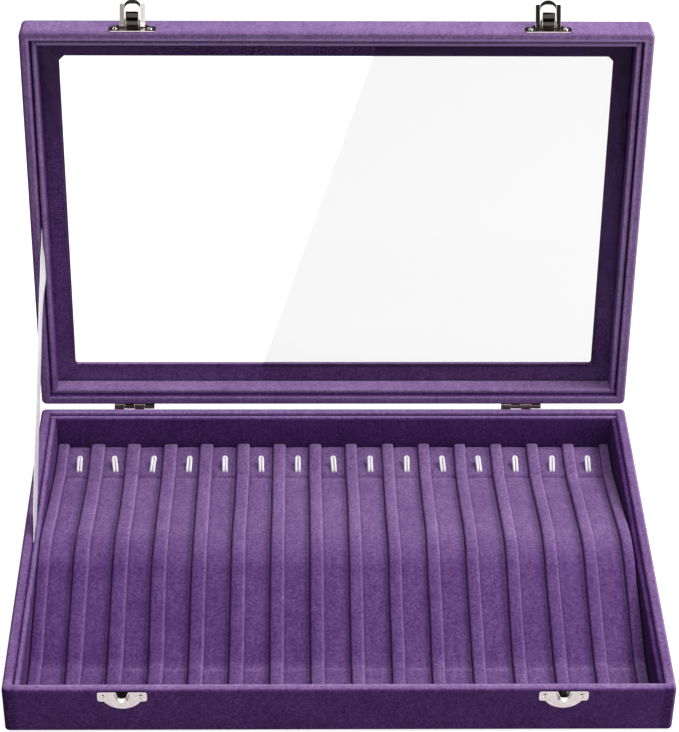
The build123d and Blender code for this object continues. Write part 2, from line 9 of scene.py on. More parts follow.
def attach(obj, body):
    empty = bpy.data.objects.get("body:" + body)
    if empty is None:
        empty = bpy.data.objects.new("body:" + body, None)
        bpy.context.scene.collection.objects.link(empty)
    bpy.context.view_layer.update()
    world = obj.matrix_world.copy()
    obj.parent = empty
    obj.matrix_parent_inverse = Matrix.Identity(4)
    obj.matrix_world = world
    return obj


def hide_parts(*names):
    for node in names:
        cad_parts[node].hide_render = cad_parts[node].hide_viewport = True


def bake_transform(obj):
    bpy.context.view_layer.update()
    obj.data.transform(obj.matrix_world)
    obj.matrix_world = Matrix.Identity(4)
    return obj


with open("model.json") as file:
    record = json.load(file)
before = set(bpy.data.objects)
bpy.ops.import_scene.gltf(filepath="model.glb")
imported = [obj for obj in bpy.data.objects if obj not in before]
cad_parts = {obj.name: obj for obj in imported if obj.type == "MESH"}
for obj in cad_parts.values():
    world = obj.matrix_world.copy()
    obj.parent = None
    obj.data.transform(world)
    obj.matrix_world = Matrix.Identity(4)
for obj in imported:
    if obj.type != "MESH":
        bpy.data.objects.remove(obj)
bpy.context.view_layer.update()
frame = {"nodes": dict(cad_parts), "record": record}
MM = 0.001

# Sizes of the CAD model in millimetres, and the lid's opening in degrees
case_depth = 240.0
front_face = -case_depth / 2
back_face = case_depth / 2
tray_height = 28.8
lid_foot = 29.1
hinge_height = 28.95
hinge_line = Vector((0.0, 121.25, hinge_height))
lid_opening = 95.6
latch_offset = 114.4
latch_shift = 1.8
hinge_offset = 116.0
hinge_shift = -3.5
plate_thickness = 0.6


def opened(point):
    """Place of a point of the shut lid when the lid stands open, in millimetres."""
    turn = Matrix.Rotation(math.radians(-lid_opening), 3, "X")
    return turn @ (Vector(point) - hinge_line) + hinge_line


def opened_way(way):
    """A direction of the shut lid as it is when the lid stands open."""
    return (opened(way) - opened((0, 0, 0))).normalized()


# Node trees
class Tree:
    """Node tree, with short calls for the nodes used here."""

    def __init__(self, tree):
        self.tree = tree

    def new(self, kind, **values):
        node = self.tree.nodes.new("ShaderNode" + kind)
        for key, value in values.items():
            setattr(node, key, value)
        return node

    def link(self, source, target):
        self.tree.links.new(source, target)

    def put(self, socket, value):
        """Give a socket a number or a colour, or link an output to it."""
        if isinstance(value, (int, float)):
            socket.default_value = value
        elif isinstance(value, tuple):
            socket.default_value = (*value, 1.0)
        else:
            self.link(value, socket)

    def axes(self, vector):
        """X, Y and Z of a vector."""
        node = self.new("SeparateXYZ")
        self.link(vector, node.inputs[0])
        return [node.outputs[axis] for axis in "XYZ"]

    def math(self, operation, *values):
        node = self.new("Math", operation=operation)
        for socket, value in zip(node.inputs, values):
            self.put(socket, value)
        return node.outputs["Value"]


class Nodes(Tree):
    """Node tree of one material."""

    def __init__(self, name):
        self.material = bpy.data.materials.new(name)
        self.material.use_nodes = True
        super().__init__(self.material.node_tree)
        self.shader = self.tree.nodes["Principled BSDF"]
        self.output = self.tree.nodes["Material Output"]
        coordinates = self.new("TexCoord")
        self.place = coordinates.outputs["Object"]
        self.facing = coordinates.outputs["Normal"]

    def scaled(self, x, y, z):
        """Object coordinates stretched along each axis."""
        mapping = self.new("Mapping")
        mapping.inputs["Scale"].default_value = (x, y, z)
        self.link(self.place, mapping.inputs["Vector"])
        return mapping.outputs["Vector"]

    def noise(self, scale, detail=2.0, rough=0.5, vector=None, distortion=0.0):
        node = self.new("TexNoise")
        values = {"Scale": scale, "Detail": detail, "Roughness": rough, "Distortion": distortion}
        for key, value in values.items():
            node.inputs[key].default_value = value
        self.link(vector or self.place, node.inputs["Vector"])
        return node.outputs["Fac"]

    def ramp(self, source, stops):
        """Colours or greys at the stops' places, with even change between."""
        node = self.new("ValToRGB")
        elements = node.color_ramp.elements
        while len(elements) < len(stops):
            elements.new(0.5)
        for element, (place, colour) in zip(elements, stops):
            shares = colour if isinstance(colour, tuple) else (colour, colour, colour)
            element.position = place
            element.color = (*shares, 1.0)
        self.link(source, node.inputs["Fac"])
        return node.outputs["Color"]

    def step(self, length, low, high, scale, offset=0.0):
        """Rise from 0 to 1 while a length goes from low to high, in millimetres.

        Scale and offset bring the lengths that matter into the ramp's range.
        """
        stops = [(low * MM * scale + offset, 0.0), (high * MM * scale + offset, 1.0)]
        return self.ramp(self.math("MULTIPLY_ADD", length, scale, offset), stops)

    def distance(self, direction, level):
        """How far a place lies along a direction, from a level."""
        node = self.new("VectorMath", operation="DOT_PRODUCT")
        self.link(self.place, node.inputs[0])
        node.inputs[1].default_value = direction
        return self.math("SUBTRACT", node.outputs["Value"], level)

    def mix(self, factor, first, second, blend="MIX"):
        node = self.new("Mix", data_type="RGBA", blend_type=blend)
        colours = [socket for socket in node.inputs if socket.type == "RGBA"]
        for socket, value in zip((node.inputs["Factor"], *colours), (factor, first, second)):
            self.put(socket, value)
        return next(socket for socket in node.outputs if socket.type == "RGBA")

    def bump(self, height, strength, distance, normal=None):
        node = self.new("Bump")
        node.inputs["Strength"].default_value = strength
        node.inputs["Distance"].default_value = distance
        self.link(height, node.inputs["Height"])
        if normal:
            self.link(normal, node.inputs["Normal"])
        return node.outputs["Normal"]

    def set(self, **values):
        """Set the shader's sockets."""
        for key, value in values.items():
            self.put(self.shader.inputs[key.replace("_", " ")], value)


def linear(red, green, blue):
    """Linear colour of an 8-bit display colour."""
    shares = [value / 255 for value in (red, green, blue)]
    return tuple(c / 12.92 if c <= 0.04045 else ((c + 0.055) / 1.055) ** 2.4 for c in shares)


# Velvet: its colour by tone, and its painted shade and light by where it faces, from the front (0) to the back
# (1)
velvet_stops = [
    (0.0, linear(52, 26, 70)),
    (0.3, linear(92, 58, 118)),
    (0.5, linear(116, 84, 140)),
    (0.7, linear(142, 112, 163)),
    (1.0, linear(182, 150, 204)),
]
case_facing_shade = [(0.0, 0.26), (0.12, 0.31), (0.3, 0.48), (0.46, 0.68), (0.54, 0.72), (1.0, 0.6)]
pad_facing_shade = [(0.0, 0.1), (0.34, 0.34), (0.42, 0.44), (0.5, 0.52), (0.62, 0.6), (1.0, 0.55)]
# Colour and strength of the painted crease shade on the pad
crease_shade_colour = linear(44, 22, 60)
crease_shade_depth = 0.75
velvet_sheen = (0.72, 0.50, 0.92)
fleck_share = 0.25

# How much each layer of noise adds to the tone, and the painted light and shade on each side that the light
# treats in its own way
lie_weight, tuft_weight, pile_weight = 0.42, 0.55, 0.40
side_shade = -0.3
right_face_painted_light = 0.9
painted_light_weight = 0.14
pad_right_light = 0.25
beside_shade, lip_shade, front_rim_painted_light = -0.12, -0.3, 0.12

# Where those sides begin and are reached in full, in millimetres from the middle
outer_edge = (172.0, 173.6)
beside_edge = (167.6, 169.2)
lip_edge = (-115.2, -119.6)
front_edge = (-110.4, -111.2)
side_scale = 5.0
front_scale, front_offset = -50.0, -5.0

# Painted shade in the seam between the boards and their liners, with painted highlights on its lips: its place
# in millimetres, its profile in centimetres with the seam at 0.5, and how its strength grows with height on the
# open lid
seam_x, seam_y = 169.2, 114.2
centimetres = 100.0
seam_shade_foot, seam_shade_rise = 0.55, 4.0
seam_shade_stops = [
    (0.21, 0.5),
    (0.27, 0.45),
    (0.39, 0.32),
    (0.48, 0.1),
    (0.51, 0.1),
    (0.53, 0.5),
    (0.56, 0.61),
    (0.66, 0.61),
    (0.73, 0.5),
]

# The open lid: which way its rim faces and its depth runs, and where they begin
rim_normal = opened_way((0, 0, 1))
rim_level = rim_normal.dot(opened((0, 0, lid_foot))) * MM
lid_down = opened_way((0, -1, 0))
lid_middle = lid_down.dot(opened((0, 0, lid_foot))) * MM

# Its rims fade into the rest, in centimetres with the rim's start at 0.5, and have painted shade and light by
# height, in quarters of a metre, paler to the right. What faces the front has painted shade and light of its
# own by height too.
rim_right_light = 0.35
rim_height_scale = 4.0
lid_front_shade_foot, lid_front_shade_rise = 0.17, -1.43
cover_rims = {
    "fade": [(0.62, 1.0), (0.80, 0.0)],
    "tones": [(0.1, 0.54), (0.3, 0.66), (1.0, 0.68)],
}
liner_rims = {
    "fade": [(0.80, 1.0), (0.95, 0.0)],
    "tones": [(0.1, 0.68), (0.3, 0.95), (1.0, 1.05)],
}


class Velvet(Nodes):
    """Short-pile velvet with painted shade and light by where it faces: what faces the front is painted deep
    and what faces up is painted pale.

    Its tone is put together share by share, and its colour follows from the tone.
    """

    def __init__(self, name, facing_shade):
        super().__init__(name)
        self.face_x, self.face_y, self.face_z = self.axes(self.facing)
        self.x, self.y, self.z = self.axes(self.place)
        self.wide, self.deep = self.math("ABSOLUTE", self.x), self.math("ABSOLUTE", self.y)
        self.tone = self.ramp(self.math("MULTIPLY_ADD", self.face_y, 0.5, 0.5), facing_shade)

    def add(self, share, weight):
        """Add a share to the tone, with its weight."""
        self.tone = self.math("MULTIPLY_ADD", share, weight, self.tone)

    def add_rims(self, rims):
        """Painted shade and light on the open lid's rim, and on what faces the front on the lid."""
        to_front = self.math("MAXIMUM", self.math("MULTIPLY", self.face_y, -1.0), 0.0)
        self.add(to_front, self.math("MULTIPLY_ADD", self.z, lid_front_shade_rise, lid_front_shade_foot))
        rim_tone = self.ramp(self.math("MULTIPLY", self.z, rim_height_scale), rims["tones"])
        rim_tone = self.math("MULTIPLY_ADD", self.x, rim_right_light, rim_tone)
        height = self.distance(rim_normal, rim_level)
        fade = self.ramp(self.math("MULTIPLY_ADD", height, centimetres, 0.5), rims["fade"])
        self.tone = self.mix(fade, self.tone, rim_tone)
        self.deep = self.math("ABSOLUTE", self.distance(lid_down, lid_middle))

    def add_seam_shade(self, strength, by_height):
        """Painted shade in the groove between boards and liners, with painted highlights on its lips."""
        beyond_x = self.math("SUBTRACT", self.wide, seam_x * MM)
        beyond_y = self.math("SUBTRACT", self.deep, seam_y * MM)
        beyond = self.math("MAXIMUM", beyond_x, beyond_y)
        groove_shade = self.ramp(self.math("MULTIPLY_ADD", beyond, centimetres, 0.5), seam_shade_stops)
        if by_height:
            rise, foot = seam_shade_rise * strength, seam_shade_foot * strength
            strength = self.math("MULTIPLY_ADD", self.z, rise, foot)
        self.add(self.math("MULTIPLY_ADD", groove_shade, 2.0, -1.0), strength)

    def add_right_light(self):
        """Painted light on the outer face on the right, where the key lamp stands."""
        to_right = self.math("MAXIMUM", self.face_x, 0.0)
        outer = self.step(self.wide, *outer_edge, side_scale)
        self.add(self.math("MULTIPLY", to_right, outer), right_face_painted_light)

    def add_tray_edges(self):
        """Painted shade and light on the tray's cover: painted deeper at its sides and its front lip, painted
        paler behind the lip.
        """
        upward = self.math("MAXIMUM", self.face_z, 0.0)
        self.add(self.step(self.wide, *beside_edge, side_scale), beside_shade)
        for edge, weight in ((lip_edge, lip_shade), (front_edge, front_rim_painted_light)):
            reached = self.step(self.y, *edge, front_scale, front_offset)
            self.add(self.math("MULTIPLY", reached, upward), weight)

    def finish(self, shade=0.0, crease_shade=None):
        """Pile, tufts and patches, then the colour with the painted shade added, darker where the painted
        crease shade lies.
        """
        patches = self.noise(34, 3.0, 0.55, distortion=0.5)
        strokes = self.noise(1.0, 2.0, 0.6, self.scaled(330, 90, 140))
        tufts = self.noise(640, 2.0, 0.6)
        pile = self.noise(1900, 2.0, 0.7)
        fleck = self.noise(4600, 1.0, 0.5)
        lie = self.math("ADD", self.math("MULTIPLY", patches, 0.5), self.math("MULTIPLY", strokes, 0.5))
        tone = self.tone
        for layer, weight in ((lie, lie_weight), (tufts, tuft_weight), (pile, pile_weight)):
            swing = self.math("MULTIPLY", self.math("SUBTRACT", layer, 0.5), weight)
            tone = self.math("ADD", tone, swing)
        colour = self.ramp(self.math("ADD", tone, shade), velvet_stops)
        if crease_shade:
            colour = self.mix(self.math("MULTIPLY", crease_shade, crease_shade_depth), colour, crease_shade_colour)
        specks = self.ramp(fleck, [(0.35, 0.6), (0.65, 1.0)])
        colour = self.mix(fleck_share, colour, specks, "MULTIPLY")
        self.set(Base_Color=colour, Roughness=0.95, Specular_IOR_Level=0.04)
        self.set(Sheen_Weight=0.06, Sheen_Roughness=0.3, Sheen_Tint=velvet_sheen)
        grain = self.bump(self.math("ADD", pile, tufts), 0.3, 0.0004)
        self.set(Normal=self.bump(lie, 0.2, 0.0012, grain))
        return self.material


def board_velvet(name, seam, rims=None, shade=0.0, tray_edges=False):
    """Velvet over the boards and liners of the case."""
    velvet = Velvet(name, case_facing_shade)
    if rims:
        velvet.add_rims(rims)
    # Painted shade on faces that look sideways
    velvet.add(velvet.math("ABSOLUTE", velvet.face_x), side_shade)
    velvet.add_seam_shade(seam, by_height=rims is not None)
    velvet.add_right_light()
    if tray_edges:
        velvet.add_tray_edges()
    return velvet.finish(shade)


def ribbed_velvet(name):
    """Velvet of the pad, painted lighter to the right, with painted light and painted crease shade from its
    mesh.
    """
    velvet = Velvet(name, pad_facing_shade)
    # Painted light towards the right
    velvet.add(velvet.x, pad_right_light)
    velvet.add(velvet.new("Attribute", attribute_name="painted_light").outputs["Fac"], painted_light_weight)
    return velvet.finish(crease_shade=velvet.new("Attribute", attribute_name="crease_shade").outputs["Fac"])


# Nickel: which way its fine marks run, and the colours of its painted dark reflection on top and its painted
# edge highlights
lengthwise = (900, 60, 60)
crosswise = (60, 900, 60)
all_ways = (60, 60, 60)
top_reflection_colour = linear(52, 46, 40)
edge_highlight_colour = linear(238, 232, 222)
mark_roughness = 0.14
leg_place = 4.3


def nickel(name, colour, rough, marks=lengthwise, dark_top_reflection=0.0, edge_highlight=None, bent=None):
    """Nickel plate with fine rubbing marks and a faint cloudiness.

    It can have a painted dark reflection where it faces up, painted highlights at some distances from the
    latch's middle, in centimetres, and be shaded as if the left latch's legs were bent, by the left and the
    right leg's slope.
    """
    n = Nodes(name)
    rubbing = n.noise(1.0, 3.0, 0.6, n.scaled(*marks))
    cloud = n.noise(420, 3.0, 0.6)
    pits = n.noise(2600, 2.0, 0.6)
    tone = n.ramp(cloud, [(0.3, tuple(c * 0.82 for c in colour)), (0.7, colour)])
    metal = 1.0
    # Painted dark reflection where it faces up
    if dark_top_reflection:
        top = n.ramp(n.axes(n.facing)[2], [(0.5, 0.0), (0.75, 1.0)])
        tone = n.mix(n.math("MULTIPLY", top, dark_top_reflection), tone, top_reflection_colour)
    across = n.math("SUBTRACT", n.axes(n.place)[0], latch_shift * MM)
    # Painted highlights, paler and less metallic
    if edge_highlight:
        aside = n.math("SUBTRACT", n.math("ABSOLUTE", across), latch_offset * MM)
        edge = n.ramp(n.math("MULTIPLY", n.math("ABSOLUTE", aside), 100.0), edge_highlight)
        tone = n.mix(edge, tone, edge_highlight_colour)
        metal = n.math("MULTIPLY_ADD", edge, -0.7, 1.0)
    n.set(Base_Color=tone, Metallic=metal)
    spread = n.math("MULTIPLY", rubbing, mark_roughness)
    n.set(Roughness=n.math("ADD", spread, rough - mark_roughness / 2))
    leaning = n.bump(rubbing, 0.08, 0.0002)
    if bent:
        left_slope, right_slope = bent
        aside = n.math("ADD", across, latch_offset * MM)
        right = n.math("MAXIMUM", n.math("SUBTRACT", aside, leg_place * MM), 0.0)
        left = n.math("MINIMUM", n.math("ADD", aside, leg_place * MM), 0.0)
        height = n.math("MULTIPLY_ADD", left, left_slope, n.math("MULTIPLY", right, -right_slope))
        leaning = n.bump(height, 1.0, 1.0, leaning)
    n.set(Normal=n.bump(pits, 0.12, 0.0002, leaning))
    return n.material


def board(name, dark, light, stretch=(30, 30, 400)):
    """Raw fibreboard, card, paper or foam: fibres and flecks in two tones."""
    n = Nodes(name)
    fibres = n.noise(1.0, 4.0, 0.6, n.scaled(*stretch))
    flecks = n.noise(900, 3.0, 0.6)
    stops = [(0.3, dark), (0.7, light)]
    n.set(Base_Color=n.mix(0.4, n.ramp(fibres, stops), n.ramp(flecks, stops)))
    n.set(Roughness=0.9, Normal=n.bump(flecks, 0.3, 0.0003))
    return n.material


def white_coat(name):
    """White plastic coat on the hook wire."""
    n = Nodes(name)
    dirt = n.noise(700, 3.0, 0.5)
    n.set(Base_Color=n.ramp(dirt, [(0.3, linear(244, 242, 246)), (0.7, linear(255, 254, 255))]))
    n.set(Roughness=0.32, Coat_Weight=0.3, Coat_Roughness=0.2, Normal=n.bump(dirt, 0.05, 0.0002))
    return n.material


def satin(name):
    """White ribbon: fine cross ribs with a soft gloss."""
    n = Nodes(name)
    weave = n.new("TexWave", wave_type="BANDS", bands_direction="Z")
    weave.inputs["Scale"].default_value = 1100
    weave.inputs["Distortion"].default_value = 0.6
    n.link(n.place, weave.inputs["Vector"])
    shade = n.noise(90, 2.0, 0.5)
    n.set(Base_Color=n.ramp(shade, [(0.3, linear(244, 242, 247)), (0.7, linear(255, 255, 255))]))
    n.set(Roughness=0.38, Sheen_Weight=0.3, Normal=n.bump(weave.outputs["Fac"], 0.15, 0.0002))
    return n.material


# Pane: the line where its painted reflection begins, as a direction across it and a level, and that
# reflection's grey tint
gleam_way = (0.953, 0.0, -0.3016)
gleam_level = -0.0554
gleam_tint = (0.70, 0.70, 0.70)
lamp_tint = (0.94, 0.95, 0.95)


def pane(name):
    """Clear pane that lets lamp light through, with a painted reflection: a faint grey tint on one side of a
    slanting line.
    """
    n = Nodes(name)
    gleam = n.step(n.distance(gleam_way, gleam_level), -0.2, 0.2, 50.0, 0.5)
    n.set(Base_Color=n.mix(gleam, (1.0, 1.0, 1.0), gleam_tint))
    n.set(Transmission_Weight=1.0, IOR=1.12, Roughness=0.0)
    path = n.new("LightPath")
    clear = n.new("BsdfTransparent")
    n.put(clear.inputs["Color"], lamp_tint)
    choice = n.new("MixShader")
    n.link(path.outputs["Is Shadow Ray"], choice.inputs[0])
    n.link(n.shader.outputs["BSDF"], choice.inputs[1])
    n.link(clear.outputs["BSDF"], choice.inputs[2])
    n.link(choice.outputs["Shader"], n.output.inputs["Surface"])
    return n.material


# Materials
case_velvet = board_velvet("case_velvet_look", 0.12, tray_edges=True)
# The tray's right liner gets a darker copy of the case velvet: painted shade
shaded_velvet = board_velvet("shaded_velvet_look", 0.5, shade=-0.4)
lid_velvet = board_velvet("lid_velvet_look", 0.85, cover_rims)
lid_liner_velvet = board_velvet("lid_liner_velvet_look", 0.8, liner_rims)
pad_velvet = ribbed_velvet("pad_velvet_look")

# Painted highlights on the loops' legs and on the lever's edges, by distance from the latch's middle
leg_highlights = [(0.425, 0.0), (0.435, 1.0), (0.465, 1.0), (0.475, 0.0), (0.67, 0.0), (0.69, 1.0)]
lever_highlights = [(0.318, 0.0), (0.335, 1.0)]
plate_nickel = nickel("plate_nickel", linear(216, 206, 204), 0.2)
# The keepers and catches have a painted dark reflection where they face up
keeper_nickel = nickel("keeper_nickel", linear(200, 189, 190), 0.22, dark_top_reflection=0.95)
loop_nickel = nickel("loop_nickel", linear(204, 198, 192), 0.15, crosswise, edge_highlight=leg_highlights)
# The left loop's nickel is paler than the right one's: painted light from the key lamp's reflection in its leg
bent_loop_nickel = nickel(
    "bent_loop_nickel", linear(232, 226, 218), 0.2, crosswise, edge_highlight=leg_highlights, bent=(0.22, 0.6)
)
lever_nickel = nickel("lever_nickel", linear(84, 79, 74), 0.2, crosswise, edge_highlight=lever_highlights)
catch_nickel = nickel("catch_nickel", linear(250, 246, 242), 0.16, all_ways, dark_top_reflection=0.85)
# Painted shade for the catches' slits
slit_shade = nickel("slit_shade", linear(40, 32, 36), 0.5)
# The hinge's nickel is painted dark and reddish: a painted reflection of the velvet around it
hinge_nickel = nickel("hinge_nickel", linear(150, 128, 122), 0.3)
screw_nickel = nickel("screw_nickel", linear(222, 216, 210), 0.16, all_ways)
pin_steel = nickel("pin_steel_look", linear(180, 176, 172), 0.3)

raw_board = board("raw_board", linear(150, 122, 88), linear(188, 160, 122))
grey_card = board("grey_card", linear(138, 126, 108), linear(170, 158, 138))
lining_paper = board("lining_paper", linear(70, 48, 90), linear(88, 62, 110))
foam_look = board("foam_look", linear(205, 200, 186), linear(232, 228, 216), (300, 300, 300))
wire_coat = white_coat("wire_coat")
ribbon_satin = satin("ribbon_satin")
clear_pane = pane("clear_pane")

# Material of each slot, and of the nodes that have one of their own
looks = {
    "case_velvet": case_velvet,
    "pad_velvet": pad_velvet,
    "card": grey_card,
    "foam": foam_look,
    "hook_wire": wire_coat,
    "base_paper": lining_paper,
    "pane": clear_pane,
    "ribbon": ribbon_satin,
    "case_board": raw_board,
    "pin_steel": pin_steel,
    "fixing_steel": screw_nickel,
    "nickel": plate_nickel,
}
own_looks = {
    "lid_velvet_cover": lid_velvet,
    "lid_front_liner": lid_liner_velvet,
    "lid_back_liner": lid_liner_velvet,
    "lid_left_liner": lid_liner_velvet,
    "lid_right_liner": lid_liner_velvet,
    "tray_right_liner": shaded_velvet,
    "keeper_left": keeper_nickel,
    "keeper_right": keeper_nickel,
    "latch_loop_left": bent_loop_nickel,
    "latch_loop_right": loop_nickel,
    "latch_lever_left": lever_nickel,
    "latch_lever_right": lever_nickel,
    "lid_hinge_leaf_left": hinge_nickel,
    "lid_hinge_leaf_right": hinge_nickel,
    "tray_hinge_leaf_left": hinge_nickel,
    "tray_hinge_leaf_right": hinge_nickel,
}
stamped = ("latch_loop", "latch_lever", "latch_plate", "keeper_left", "keeper_right")
seam_gap = 0.003
worn_edge = 0.12


def dress(thing, material):
    """Give a piece or a CAD node one material."""
    thing.data.materials.clear()
    thing.data.materials.append(material)


def round_edges(node):
    """Join a CAD node's faces and round its edges, with modifiers only."""
    weld = node.modifiers.new("joined_faces", "WELD")
    weld.merge_threshold = seam_gap * MM
    bevel = node.modifiers.new("worn_edges", "BEVEL")
    bevel.width = worn_edge * MM
    bevel.segments = 2
    bevel.limit_method = "ANGLE"
    bevel.angle_limit = math.radians(40)
    bevel.harden_normals = True


slot_of = {entry["node"]: entry["material_slot"] for entry in frame["record"]["subparts"]}
for node_name, node in frame["nodes"].items():
    dress(node, own_looks.get(node_name, looks[slot_of[node_name]]))
    if node_name.startswith(stamped):
        round_edges(node)


# Meshes
def new_mesh(name, vertices, faces, material):
    """Smooth mesh piece from vertices in millimetres."""
    mesh = bpy.data.meshes.new(name)
    mesh.from_pydata([Vector(v) * MM for v in vertices], [], faces)
    mesh.validate()
    piece = bpy.data.objects.new(name, mesh)
    bpy.context.scene.collection.objects.link(piece)
    mesh.materials.append(material)
    for polygon in mesh.polygons:
        polygon.use_smooth = True
    return piece


def grid_faces(rows, columns, first=0):
    """Quads between the vertices of a grid, given row by row."""
    corners = [first + row * columns + column for row in range(rows - 1) for column in range(columns - 1)]
    return [(a, a + columns, a + columns + 1, a + 1) for a in corners]


def between(place, table):
    """Value at a place in a table of places and values."""
    for (low, first), (high, second) in zip(table, table[1:]):
        if place <= high:
            return first + (second - first) * max(0.0, place - low) / (high - low)
    return table[-1][1]


def bell(place, middle, width):
    """Hump of height 1 about a middle."""
    return math.exp(-(((place - middle) / width) ** 2))


# Velvet pad: rolled ribs between flat channels, bowed up across the middle
insert_width = 330.8
insert_depth = 220.8
rib_count = 16
rib_width = 6.8
rib_height = 2.8
rib_pitch = (insert_width - rib_width) / (rib_count - 1)
rib_foot = 1.2 * rib_width / 2
pad_sheet = 1.0
row_step = 1.15
back_floor, front_floor, crown_floor = 7.2, 6.8, 28.4
crown = [
    (110.4, back_floor),
    (80.0, back_floor),
    (-5.0, crown_floor),
    (-80.0, front_floor),
    (-110.4, front_floor),
]
crown_radii = [25.0, 60.0, 25.0]

# Half of a rib's outline: place from its middle and height, as shares, with its painted light and painted
# crease shade
rib_shares = [
    (0.0, 1.0, 0.15, 0.0),
    (0.3, 0.995, 0.2, 0.0),
    (0.55, 0.975, 0.35, 0.0),
    (0.72, 0.93, 0.7, 0.0),
    (0.85, 0.84, 1.0, 0.0),
    (0.94, 0.68, 0.8, 0.0),
    (0.985, 0.45, 0.3, 0.1),
    (1.0, 0.2, 0.0, 0.45),
    (1.02, 0.0, 0.0, 1.0),
    (1.09, -0.1, 0.0, 0.85),
    (1.2, -0.02, 0.05, 0.25),
]

# A rib's right side has the painted highlight and its left side the painted shade, most of all beyond its foot
rib_left_painted_light, rib_right_painted_light = 0.1, 1.5
rib_left_crease_shade, rib_right_crease_shade, foot_crease_shade = 1.6, 0.3, 0.15

# How much further a rib's left foot is laid out than its right one: at the second rib, less with
# each rib after it, and at least
spread_most, spread_fall, spread_least = 1.5, 0.055, 1.05

# The last ribs stand further right, each by this much more
straight_ribs = 11
rib_drift = 0.25

# Painted light and shade of the pad along its depth, over what its slope gives
pad_painted_light = [(-110.4, -0.5), (-88.0, -0.3), (-84.0, -0.6), (-81.0, 0.0), (80.0, 0.0), (84.0, 0.4), (110.4, 0.5)]

# Height of the pillow between two ribs, and the painted shadow beside a rib's left foot
pillow_height = 0.22
channel_shadow, shadow_reach = 0.95, 2.3

# Unevenness: how far ribs wander, how much they swell, and how high the cloth ripples
rib_wander, rib_swell, cloth_ripple = 0.55, 0.10, 0.16
edge_hold = 4

# Creases where the floor bends, with painted highlight lines beside them: places and widths, depths and
# highlight strengths, and what a rib takes of them. At its ends the pad drops a little.
back_bend, front_bend = (80.5, 1.3), (-83.5, 1.0)
back_crease, front_crease = 0.35, 0.22
back_line, front_line = (79.0, 1.6), (-82.0, 1.0)
back_line_highlight, front_line_highlight = 0.6, 1.2
rib_share_of_crease = 0.3
end_drop, end_reach = 0.9, 1.6

# Strength of the painted crease shade along the pad, and at its under edge
crease_shade_least, crease_shade_middle, crease_shade_fall = 0.8, 0.93, 0.0017
under_crease_shade = 0.6


def crown_line():
    """Height of the channel floor against Y, with its corners rounded."""
    arcs = []
    for index, radius in enumerate(crown_radii, 1):
        corner = Vector(crown[index])
        to_last = (Vector(crown[index - 1]) - corner).normalized()
        to_next = (Vector(crown[index + 1]) - corner).normalized()
        half = math.acos(max(-1.0, min(1.0, to_last.dot(to_next)))) / 2
        reach = radius / math.tan(half)
        centre = corner + (to_last + to_next).normalized() * (radius / math.sin(half))
        sign = -1 if centre.y > corner.y else 1
        arcs.append(((corner + to_last * reach).x, (corner + to_next * reach).x, centre, radius, sign))

    def height(y):
        for high, low, centre, radius, sign in arcs:
            if low <= y <= high:
                return centre.y + sign * math.sqrt(max(0.0, radius * radius - (y - centre.x) ** 2))
        for (y0, z0), (y1, z1) in zip(crown, crown[1:]):
            if y1 <= y <= y0:
                return z0 + (z1 - z0) * (y - y0) / (y1 - y0)
        return crown[-1][1]

    return height


floor_height = crown_line()


def rib_spread(index):
    """Place of a rib's left foot, as a share of the right one's."""
    return max(spread_least, spread_most - spread_fall * (index - 1)) if index else 1.0


def pad_section():
    """Columns across the pad: x, height over the floor, painted light, painted crease shade, rib."""
    columns = []
    for index in range(rib_count):
        middle = (index - (rib_count - 1) / 2) * rib_pitch + rib_drift * max(0, index - straight_ribs)
        spread = rib_spread(index)
        left = [
            (-share * spread, height, painted_light * rib_left_painted_light, min(1.0, crease_shade * rib_left_crease_shade + foot_crease_shade * (share > 1.1)))
            for share, height, painted_light, crease_shade in reversed(rib_shares[1:])
        ]
        right = [(share, height, painted_light * rib_right_painted_light, crease_shade * rib_right_crease_shade) for share, height, painted_light, crease_shade in rib_shares]
        for share, height, painted_light, crease_shade in left + right:
            x = middle + share * rib_width / 2
            if abs(x) <= insert_width / 2 + 0.01:
                columns.append((x, height * rib_height, painted_light, crease_shade, index))
        if index < rib_count - 1:
            run = rib_pitch - rib_foot * (1 + rib_spread(index + 1))
            for step in range(1, 10):
                share = step / 10
                pillow = pillow_height * math.sin(math.pi * share)
                shadow = channel_shadow * math.exp(-((1 - share) * run / shadow_reach) ** 1.8)
                columns.append((middle + rib_foot + run * share, pillow, 0.0, shadow, index))
    return columns


def pad_rows():
    """Places of the pad's rows, from back to front."""
    rows = []
    y = insert_depth / 2
    while y > -insert_depth / 2 + 0.5:
        rows.append(y)
        y -= row_step
    return [*rows, -insert_depth / 2]


